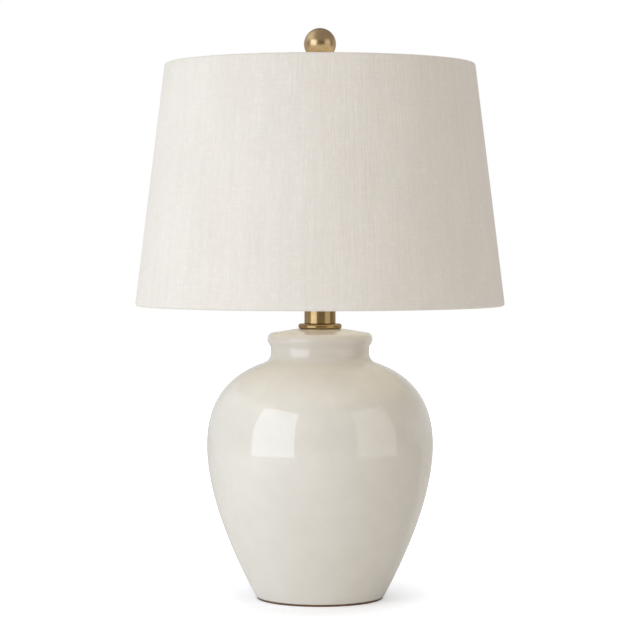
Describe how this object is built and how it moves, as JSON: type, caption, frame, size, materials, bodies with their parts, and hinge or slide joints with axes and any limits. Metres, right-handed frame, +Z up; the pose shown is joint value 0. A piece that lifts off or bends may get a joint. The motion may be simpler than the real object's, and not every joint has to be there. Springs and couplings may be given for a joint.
{
  "type": "ceramic table lamp",
  "caption": "Table lamp with a round-bellied glazed jar, brass neck, tapered linen shade on a harp, ball finial, and a bulb in a switched holder.",
  "frame": {"origin": "under the middle of the jar's foot, on the table", "axes": "+Z up; -Y is the front; the harp stands in the XZ plane; the cord's hole is at the back, +Y"},
  "size_m": [0.4032, 0.4031, 0.6238],
  "materials": {
    "cream_glaze": "glossy cream glaze with faint mottling",
    "brown_felt": "pressed brown felt",
    "bushing_plastic": "moulded, off-white",
    "zinc_steel": "zinc plated",
    "black_rubber": "matt",
    "aged_brass": "satin, aged",
    "holder_brass": "bright, plain",
    "insulating_card": "pressed card",
    "black_moulding": "moulded, black",
    "white_wire": "white enamel",
    "white_styrene": "smooth white sheet",
    "natural_linen": "slubby natural linen",
    "frosted_glass": "frosted",
    "bulb_aluminium": "plain",
    "black_bead": "fused black bead"
  },
  "bodies": {
    "base": {"ceramic_jar": "cream_glaze", "felt_pad": "brown_felt", "cord_bushing": "bushing_plastic", "lamp_pipe": "zinc_steel", "bottom_rubber_washer": "black_rubber", "bottom_steel_washer": "zinc_steel", "bottom_nut": "zinc_steel", "check_ring": "aged_brass", "neck_tube": "aged_brass", "top_nut": "aged_brass", "harp_saddle": "aged_brass", "holder_cap": "holder_brass", "holder_set_screw": "zinc_steel", "holder_shell": "holder_brass", "holder_sleeve": "insulating_card", "holder_body": "black_moulding", "holder_screw_shell": "holder_brass", "holder_centre_contact": "holder_brass", "holder_terminal_screws": "holder_brass"},
    "switch": {"switch_shaft": "holder_brass", "switch_knob": "black_moulding"},
    "harp": {"harp_bow": "aged_brass", "harp_stud": "aged_brass"},
    "ferrule_left": {"harp_ferrule_left": "aged_brass"},
    "ferrule_right": {"harp_ferrule_right": "aged_brass"},
    "shade": {"spider_hub": "white_wire", "spider_arms": "white_wire", "shade_top_ring": "white_wire", "shade_bottom_ring": "white_wire", "shade_liner": "white_styrene", "shade_fabric": "natural_linen"},
    "finial": {"finial_base": "aged_brass", "finial_ball": "aged_brass"},
    "bulb": {"bulb_glass": "frosted_glass", "bulb_cap": "bulb_aluminium", "bulb_insulator": "black_bead", "bulb_contact": "zinc_steel"}
  },
  "joints": [
    {"name": "switch_turn", "type": "hinge", "parent": "base", "child": "switch", "pos_m": [0, -0.0166, 0.37165], "axis": [0, -1, 0], "continuous": true},
    {"name": "harp_lift", "type": "slide", "parent": "base", "child": "harp", "axis": [0, 0, 1], "range_m": [0, 0.015]},
    {"name": "ferrule_left_lift", "type": "slide", "parent": "harp", "child": "ferrule_left", "axis": [0, 0, 1], "range_m": [0, 0.014]},
    {"name": "ferrule_right_lift", "type": "slide", "parent": "harp", "child": "ferrule_right", "axis": [0, 0, 1], "range_m": [0, 0.014]},
    {"name": "shade_turn", "type": "hinge", "parent": "harp", "child": "shade", "pos_m": [0, 0, 0.57155], "axis": [0, 0, 1], "continuous": true},
    {"name": "finial_turn", "type": "hinge", "parent": "harp", "child": "finial", "pos_m": [0, 0, 0.57525], "axis": [0, 0, 1], "continuous": true},
    {"name": "bulb_turn", "type": "hinge", "parent": "base", "child": "bulb", "pos_m": [0, 0, 0.38145], "axis": [0, 0, 1], "continuous": true}
  ]
}
